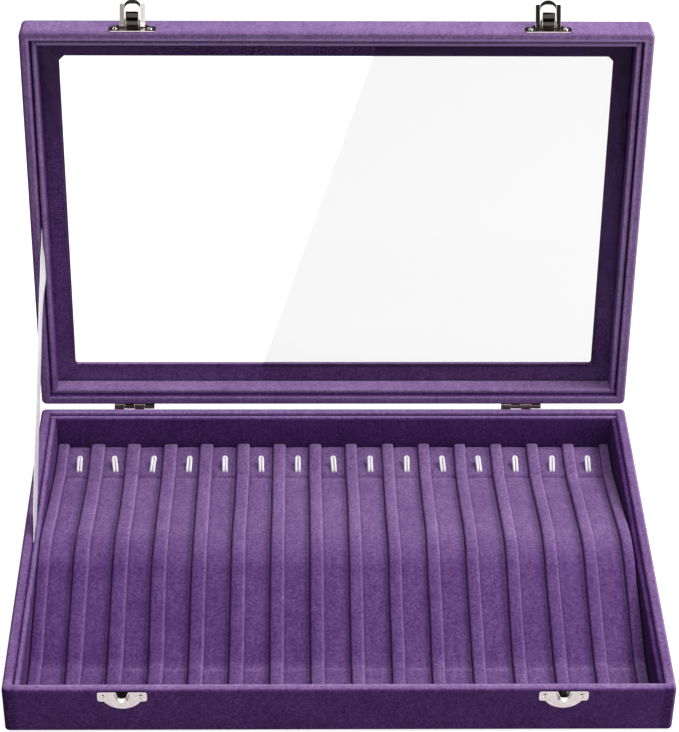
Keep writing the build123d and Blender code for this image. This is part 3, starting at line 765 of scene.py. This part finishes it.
def pad_top(rows, columns):
    """The pad's upper side: vertices, and the painted light and painted crease shade of each."""
    vertices, painted_light_values, crease_shade_values = [], [], []
    for y in rows:
        end = insert_depth / 2 - abs(y)
        drop = end_drop * max(0.0, 1 - end / end_reach) ** 2
        sag = bell(y, *back_bend)
        dent = back_crease * sag + front_crease * bell(y, *front_bend)
        # Painted highlight lines beside the creases
        line = back_line_highlight * bell(y, *back_line) + front_line_highlight * bell(y, *front_line)
        strength = max(crease_shade_least, crease_shade_middle - crease_shade_fall * y)
        for x, height, painted_light, crease_shade, index in columns:
            wander = noise.noise(Vector((index * 7.3, y * 0.018, 3.0))) * rib_wander
            swell = 1 + rib_swell * noise.noise(Vector((index * 3.1, y * 0.03, 9.0)))
            ripple = cloth_ripple * noise.noise(Vector((x * 0.07, y * 0.06, 1.0)))
            is_rib = height > 0.25
            taken = rib_share_of_crease if is_rib else 1.0
            z = floor_height(y) + height * (swell if is_rib else 1.0) + ripple
            z -= dent * taken + drop
            edge = max(0.0, min(1.0, (insert_width / 2 - abs(x)) / edge_hold))
            vertices.append((x + wander * edge, y, z))
            # Painted light from the rib, the highlight lines and the depth, and painted crease shade in the
            # channels at the back bend
            painted_light_values.append(painted_light + taken * line + between(y, pad_painted_light))
            channel_crease_shade = 0.0 if is_rib else back_crease * sag
            crease_shade_values.append(min(1.0, crease_shade * strength + channel_crease_shade))
    return vertices, painted_light_values, crease_shade_values


def make_pad():
    """The pad as a closed sheet, with its painted light and painted crease shade as attributes for the velvet.
    """
    rows, columns = pad_rows(), pad_section()
    vertices, painted_light_values, crease_shade_values = pad_top(rows, columns)
    wide, count = len(columns), len(vertices)
    faces = grid_faces(len(rows), wide)
    for y in rows:
        for x in (-insert_width / 2, insert_width / 2):
            vertices.append((x, y, floor_height(y) - pad_sheet))
            painted_light_values.append(0.0)
            crease_shade_values.append(under_crease_shade)
    for row in range(len(rows) - 1):
        low = count + 2 * row
        left = row * wide
        right = left + wide - 1
        faces.append((low, low + 2, left + wide, left))
        faces.append((right, right + wide, low + 3, low + 1))
        faces.append((low + 1, low + 3, low + 2, low))
    end, last_row = len(vertices), (len(rows) - 1) * wide
    faces.append((count, *range(wide), count + 1))
    faces.append((end - 1, *range(last_row + wide - 1, last_row - 1, -1), end - 2))
    pad = new_mesh("velvet_pad", vertices, faces, pad_velvet)
    for name, values in (("painted_light", painted_light_values), ("crease_shade", crease_shade_values)):
        layer = pad.data.attributes.new(name, "FLOAT", "POINT")
        layer.data.foreach_set("value", values)
    return pad


pad = make_pad()
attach(pad, "tray")
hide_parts("insert_velvet_pad")


# Hooks: hairpins of round coated wire, their sizes in millimetres and their tilts in degrees
hook_place = 86.2
hook_wire = 0.8
hook_sides = 14
hook_spread = 0.92
hook_stub = 0.6
hook_length = 9.05
hook_curve = 0.7
hook_feet = (-1.2, -0.3)
hook_bow, hook_lift = 0.16, 0.12
hook_rise = math.radians(28.0)
hook_tilts = (1, -8, 7, 4, -1, -2, 0, -5, -2, 0, -5, -6, -2, 2, -2)


def hairpin_path(index):
    """Points along one hook, from foot to foot."""
    out = Vector((0, math.cos(hook_rise), math.sin(hook_rise)))
    leg = Vector((hook_spread, 0, 0))
    knee = Vector((0, 0, hook_stub))
    straight = hook_length - hook_spread
    turn = knee + out * straight
    half = [Vector((0, 0, foot)) - leg for foot in hook_feet]
    for step in range(7):
        share = step / 6
        rise = Vector((0, 0, -hook_curve)) * (1 - share) ** 2
        half.append(knee - leg + rise + out * hook_curve * share**2)
    bow = hook_bow * noise.noise(Vector((index * 2.7, 0.5, 0.0)))
    for step in range(1, 6):
        share = step / 6
        swing = math.sin(math.pi * share)
        bend = Vector((bow * swing, 0, hook_lift * swing))
        half.append(knee - leg + out * (hook_curve + (straight - hook_curve) * share) + bend)
    angles = [math.pi * step / 12 for step in range(13)]
    bend = [turn - leg * math.cos(a) + out * hook_spread * math.sin(a) for a in angles]
    other = [Vector((-point.x, point.y, point.z)) for point in reversed(half)]
    middle = Vector(((index - (rib_count - 2) / 2) * rib_pitch, hook_place, back_floor))
    tilt = Matrix.Rotation(math.radians(-hook_tilts[index]), 3, "Z")
    return [middle + tilt @ point for point in half + bend + other]


def tube(path, radius, sides, vertices, faces):
    """Round tube along a path, added to lists of vertices and faces."""
    first = len(vertices)
    side = Vector((0, 1, 0))
    for index, point in enumerate(path):
        ahead = (path[min(index + 1, len(path) - 1)] - path[max(index - 1, 0)]).normalized()
        side = (side - ahead * side.dot(ahead)).normalized()
        other = ahead.cross(side)
        for step in range(sides):
            angle = 2 * math.pi * step / sides
            vertices.append(point + side * radius * math.cos(angle) + other * radius * math.sin(angle))
    for ring in range(len(path) - 1):
        for step in range(sides):
            a = first + ring * sides + step
            b = first + ring * sides + (step + 1) % sides
            faces.append((a, b, b + sides, a + sides))
    faces.append(tuple(range(first + sides - 1, first - 1, -1)))
    last = first + (len(path) - 1) * sides
    faces.append(tuple(range(last, last + sides)))


hook_vertices, hook_faces = [], []
for hook_index in range(rib_count - 1):
    tube(hairpin_path(hook_index), hook_wire, hook_sides, hook_vertices, hook_faces)
hooks = new_mesh("wire_hooks", hook_vertices, hook_faces, wire_coat)
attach(hooks, "tray")
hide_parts("necklace_hooks")


# Screw and nail heads: places in millimetres, turns of the screws in radians
screw_step = 9.6
keeper_screw_drop = 3.6
latch_screw_rise = 4.1
screw_spins = [0.35, 1.1, 0.7, 0.1]
lid_spin = 0.5
nail_step = 8.0
nail_reach = 6.8
dome_power = 2.6
recess_width, recess_reach = 0.2, 0.62
recess_flank, recess_end = 0.35, 0.2


def head_mesh(name, radius, dome, recess):
    """Domed head on XY, with a cross recess if it has a depth, as a mesh that several heads share."""
    mesh = bpy.data.meshes.new(name)
    bm = bmesh.new()
    steps = 36
    width, far = recess_width * radius, recess_reach * radius
    grid = []
    for i in range(steps + 1):
        row = []
        for j in range(steps + 1):
            u, v = 2 * i / steps - 1, 2 * j / steps - 1
            x = u * math.sqrt(1 - v * v / 2)
            y = v * math.sqrt(1 - u * u / 2)
            z = dome * math.sqrt(max(0.0, 1 - math.hypot(x, y) ** dome_power))
            arm = min(abs(x), abs(y)) * radius
            reach = max(abs(x), abs(y)) * radius
            if recess and arm < width and reach < far:
                flank = min(1.0, (width - arm) / (recess_flank * width))
                end = min(1.0, (far - reach) / (recess_end * radius))
                z -= recess * flank * end
            row.append(bm.verts.new((x * radius * MM, y * radius * MM, z * MM)))
        grid.append(row)
    for i in range(steps):
        for j in range(steps):
            bm.faces.new((grid[i][j], grid[i + 1][j], grid[i + 1][j + 1], grid[i][j + 1]))
    bmesh.ops.holes_fill(bm, edges=[edge for edge in bm.edges if edge.is_boundary])
    for face in bm.faces:
        face.smooth = True
    bm.to_mesh(mesh)
    bm.free()
    return mesh


def put_heads(name, mesh, places, body, stands_for):
    """One piece of several heads, each on its seat."""
    joined = bmesh.new()
    for centre, out, spin in places:
        turn = out.to_track_quat("Z", "Y").to_matrix().to_4x4() @ Matrix.Rotation(spin, 4, "Z")
        copy = mesh.copy()
        copy.transform(Matrix.Translation(Vector(centre) * MM) @ turn)
        joined.from_mesh(copy)
        bpy.data.meshes.remove(copy)
    data = bpy.data.meshes.new(name)
    joined.to_mesh(data)
    joined.free()
    data.materials.append(screw_nickel)
    piece = bpy.data.objects.new(name, data)
    bpy.context.scene.collection.objects.link(piece)
    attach(piece, body)
    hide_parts(stands_for)


def places_along(shift, offset, step):
    """X of the two screws or nails of a left and a right fitting."""
    return [shift + sign * offset + side for sign in (-1, 1) for side in (-step, step)]


forward, backward = Vector((0, -1, 0)), Vector((0, 1, 0))
screw_seat, nail_seat = front_face - plate_thickness, back_face + plate_thickness
keeper_places, latch_places, tray_nails, lid_nails = [], [], [], []
for x, spin in zip(places_along(latch_shift, latch_offset, screw_step), screw_spins):
    keeper_places.append(((x, screw_seat, tray_height - keeper_screw_drop), forward, spin))
    seat = opened((x, screw_seat, tray_height + latch_screw_rise))
    latch_places.append((seat, opened_way(forward), spin + lid_spin))
for x in places_along(hinge_shift, hinge_offset, nail_step):
    tray_nails.append(((x, nail_seat, hinge_height - nail_reach), backward, 0.0))
    seat = opened((x, nail_seat, hinge_height + nail_reach))
    lid_nails.append((seat, opened_way(backward), 0.0))
screw_head = head_mesh("screw_head", 1.5, 0.7, 0.62)
nail_head = head_mesh("nail_head", 1.3, 0.55, 0.0)
put_heads("keeper_screw_heads", screw_head, keeper_places, "tray", "keeper_screws")
put_heads("latch_screw_heads", screw_head, latch_places, "lid", "latch_screws")
put_heads("tray_nail_heads", nail_head, tray_nails, "tray", "tray_hinge_nails")
put_heads("lid_nail_heads", nail_head, lid_nails, "lid", "lid_hinge_nails")


# Catch of each keeper: a bent hood over the pressed-out tongue, and dark strips of painted shade for the slits
# beside it.
# Lines of the hood from its top down: reach in front, height, half width, skirt's width and fall.
hood_lines = [
    (0.62, -0.28, 1.9, 1.7, 0.02),
    (1.25, -0.55, 2.2, 1.3, 0.6),
    (2.2, -1.1, 2.2, 0.7, 0.8),
    (3.0, -1.6, 2.1, 0.5, 0.4),
    (3.36, -2.2, 1.9, 0.4, 0.2),
    (3.44, -3.0, 1.85, 0.3, 0.1),
    (3.44, -4.1, 1.8, 0.2, 0.1),
    (3.42, -5.05, 1.2, 0.1, 0.05),
]
hood_arch = 0.18
hood_thickness = 0.05
slit_thickness = 0.08
slit_top, slit_fall = 1.8, 4.6
slit_aside, slit_lean = 3.75, 0.95
slit_half, slit_taper = 0.24, 0.6
slit_edge_lift, slit_middle_lift = 0.58, 0.72


def thicken(piece, thickness, offset):
    """Give a sheet a thickness in millimetres."""
    solid = piece.modifiers.new("sheet", "SOLIDIFY")
    solid.thickness, solid.offset = thickness * MM, offset


def make_hood(side, middle):
    """Bent hood of one catch."""
    half_steps, skirt_steps = 5, 4
    vertices = []
    for out, height, half, skirt, fall in hood_lines:
        row = []
        for step in range(half_steps + 1):
            share = step / half_steps
            row.append((half * share, out - hood_arch * share**3 * min(1.0, out)))
        edge_x, edge_out = row[-1]
        for step in range(1, skirt_steps + 1):
            turn = step / skirt_steps * math.pi / 2
            row.append((edge_x + skirt * math.sin(turn), edge_out - fall * (1 - math.cos(turn))))
        full = [(-x, reach) for x, reach in reversed(row[1:])] + row
        vertices.extend((middle + x, front_face - reach, tray_height + height) for x, reach in full)
    faces = grid_faces(len(hood_lines), 2 * (half_steps + skirt_steps) + 1)
    hood = new_mesh(f"catch_hood_{side}", vertices, faces, catch_nickel)
    thicken(hood, hood_thickness, 1.0)
    smooth = hood.modifiers.new("smooth", "SUBSURF")
    smooth.levels = smooth.render_levels = 2
    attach(hood, "tray")


def make_slits(side, middle):
    """Dark strips of painted shade for the slits on both sides of one catch."""
    steps = 8
    vertices, faces = [], []
    for flank in (-1, 1):
        faces.extend(grid_faces(steps + 1, 3, len(vertices)))
        for step in range(steps + 1):
            share = step / steps
            x = middle + flank * (slit_aside - slit_lean * share)
            z = tray_height - slit_top - slit_fall * share
            half = slit_half * (1 - slit_taper * share)
            for place, lift in ((-half, slit_edge_lift), (0.0, slit_middle_lift), (half, slit_edge_lift)):
                vertices.append((x + place, front_face - lift, z))
    slits = new_mesh(f"catch_slits_{side}", vertices, faces, slit_shade)
    thicken(slits, slit_thickness, -1.0)
    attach(slits, "tray")


for catch_side, catch_sign in (("left", -1), ("right", 1)):
    catch_middle = latch_shift + catch_sign * latch_offset
    make_hood(catch_side, catch_middle)
    make_slits(catch_side, catch_middle)


# Ribbon from the tray's seam to the lid's, with a slight hang.
# Along it, as shares of its length: its twist in degrees and its drift along X in millimetres.
ribbon_twist = [
    (0.0, 0),
    (0.09, 0),
    (0.14, 6),
    (0.3, 6.5),
    (0.4, 5),
    (0.72, 5),
    (0.78, 7),
    (0.85, 14),
    (0.90, 9),
    (0.945, 0),
    (1.0, 0),
]
ribbon_drift = [
    (0.0, 0.0),
    (0.1, -0.1),
    (0.3, -0.2),
    (0.45, 0.0),
    (0.74, 0.0),
    (0.79, 0.25),
    (0.85, 0.9),
    (0.91, 0.4),
    (0.95, 0.0),
    (1.0, 0.0),
]
ribbon_x = -168.95
ribbon_width = 10.0
ribbon_thickness = 0.22
ribbon_cup = 0.15
ribbon_held = 0.08
tray_hold, tray_hold_depth = 127.0, 12.0
lid_hold, lid_hold_depth = 117.0, 8.5


def make_ribbon():
    """The ribbon as a closed strip, with its two ends and its length."""
    tray_end = Vector((0, hinge_line.y - tray_hold, tray_height - tray_hold_depth))
    lid_end = opened((0, hinge_line.y - lid_hold, lid_foot + lid_hold_depth))
    along = lid_end - tray_end
    across = along.cross(Vector((1, 0, 0))).normalized()
    steps, parts = 110, 6
    wide = parts + 1
    vertices = []
    for side in (-1, 1):
        for i in range(steps + 1):
            share = i / steps
            free_share = max(0.0, min(1.0, (share - ribbon_held) / (1 - 2 * ribbon_held)))
            free = max(0.0, math.sin(math.pi * free_share))
            twist = math.radians(between(share, ribbon_twist))
            drift = between(share, ribbon_drift)
            for j in range(wide):
                aside = j / parts - 0.5
                cup = ribbon_cup * (1 - (2 * aside) ** 2) * free
                reach = aside * ribbon_width
                x = ribbon_x + side * ribbon_thickness / 2 - cup + reach * math.sin(twist) + drift
                point = tray_end + along * share + across * reach * math.cos(twist)
                vertices.append((x, point.y, point.z))
    ring = (steps + 1) * wide
    faces = [(face[0], *face[:0:-1]) for face in grid_faces(steps + 1, wide)]
    faces.extend(grid_faces(steps + 1, wide, ring))
    for a in range(0, steps * wide, wide):
        b = a + parts
        faces.append((a, a + wide, a + wide + ring, a + ring))
        faces.append((b, b + ring, b + ring + wide, b + wide))
    for a in range(parts):
        b = a + steps * wide
        faces.append((a, a + ring, a + ring + 1, a + 1))
        faces.append((b, b + 1, b + 1 + ring, b + ring))
    return new_mesh("ribbon_stay", vertices, faces, ribbon_satin), tray_end, lid_end, along.length


ribbon, tray_end, lid_end, ribbon_length = make_ribbon()
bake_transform(ribbon)
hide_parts("lid_ribbon_stay")


# Floor, backdrop and light
floor_size = 12
floor_level = -0.0005
floor_grey = 0.5
floor_glow = 0.82
dim_gloss, dimmest_gloss = 0.17, 0.03
side_rise, side_start = 1.7, -0.35


def floor_material(name):
    """Pale floor that shows white to the camera and keeps the shadow."""
    n = Nodes(name)
    grain = n.noise(4.0, 2.0, 0.5)
    n.set(Base_Color=n.ramp(grain, [(0.0, floor_grey - 0.01), (1.0, floor_grey)]))
    n.set(Roughness=0.9, Specular_IOR_Level=0.0)
    ray = n.new("LightPath").outputs
    seen = n.math("MAXIMUM", ray["Is Glossy Ray"], ray["Is Transmission Ray"])
    seen = n.math("MAXIMUM", ray["Is Camera Ray"], seen)
    n.set(Emission_Color=(1.0, 1.0, 1.0), Emission_Strength=n.math("MULTIPLY", seen, floor_glow))
    return n.material


bpy.ops.mesh.primitive_plane_add(size=floor_size, location=(0, 0, floor_level))
floor = bpy.context.object
floor.name = "floor"
dress(floor, floor_material("floor_white"))

world = bpy.data.worlds.new("studio")
bpy.context.scene.world = world
world.use_nodes = True
sky = Tree(world.node_tree)
ray = sky.new("LightPath").outputs
heading = sky.axes(sky.new("TexCoord").outputs["Generated"])[0]

# Gloss sees a studio that is bright at both sides and dark overhead, behind and before
side = sky.math("MULTIPLY_ADD", sky.math("ABSOLUTE", heading), side_rise, side_start)
studio = sky.math("MINIMUM", sky.math("MAXIMUM", side, dimmest_gloss), 1.0)
seen = sky.math("MAXIMUM", ray["Is Camera Ray"], ray["Is Transmission Ray"])
plain = sky.math("MAXIMUM", seen, dim_gloss)
shown = sky.math("MULTIPLY", ray["Is Glossy Ray"], sky.math("SUBTRACT", studio, plain))
background = world.node_tree.nodes["Background"]
sky.put(background.inputs["Strength"], sky.math("ADD", plain, shown))
sky.put(background.inputs["Color"], (1.0, 1.0, 1.0))


def area_light(name, place, aim, size, power):
    """Soft lamp; lengths in metres, power in watts."""
    data = bpy.data.lights.new(name, "AREA")
    data.shape = "RECTANGLE"
    data.size, data.size_y = size
    data.energy = power
    lamp = bpy.data.objects.new(name, data)
    bpy.context.scene.collection.objects.link(lamp)
    lamp.location = place
    lamp.rotation_euler = (Vector(aim) - Vector(place)).to_track_quat("-Z", "Y").to_euler()
    return lamp


area_light("key_softbox", (1.25, 0.15, 2.0), (0, 0.02, 0.03), (1.1, 1.3), 42)
area_light("top_softbox", (-0.2, 0.0, 1.8), (0, 0.02, 0), (1.8, 1.4), 12).visible_glossy = False
area_light("front_fill", (0.4, -2.2, 0.36), (0, 0, 0.02), (1.6, 0.5), 6).visible_glossy = False


# Camera at the photograph's place: millimetres, degrees, and the photograph's pixels
camera_place = (-22.641, -988.814, 879.009)
camera_down, camera_yaw, camera_roll = 35.955, -1.089, 0.645
photo_width, photo_height = 679, 732
focal_length = 2326.69
centre_x, centre_y = 331.9, 346.383
sensor_height = 36.0


def put_camera():
    """The camera that was fitted to the photograph."""
    down, yaw, roll = (math.radians(angle) for angle in (camera_down, camera_yaw, camera_roll))
    c, s = math.cos(yaw), math.sin(yaw)
    ahead = Vector((-s * math.cos(down), c * math.cos(down), -math.sin(down)))
    right = Vector((c, s, 0))
    up = Vector((-s * math.sin(down), c * math.sin(down), math.cos(down)))
    x_axis = math.cos(roll) * right + math.sin(roll) * up
    y_axis = -math.sin(roll) * right + math.cos(roll) * up
    data = bpy.data.cameras.new("camera")
    data.sensor_fit = "VERTICAL"
    data.sensor_height = sensor_height
    data.lens = focal_length / photo_height * sensor_height
    data.shift_x = (photo_width / 2 - centre_x) / photo_height
    data.shift_y = (centre_y - photo_height / 2) / photo_height
    data.clip_start, data.clip_end = 0.01, 50
    camera = bpy.data.objects.new("camera", data)
    bpy.context.scene.collection.objects.link(camera)
    turn = Matrix((x_axis, y_axis, -ahead)).transposed()
    camera.matrix_world = Matrix.Translation(Vector(camera_place) * MM) @ turn.to_4x4()
    bpy.context.scene.camera = camera


put_camera()
bpy.context.scene.view_settings.view_transform = "Standard"
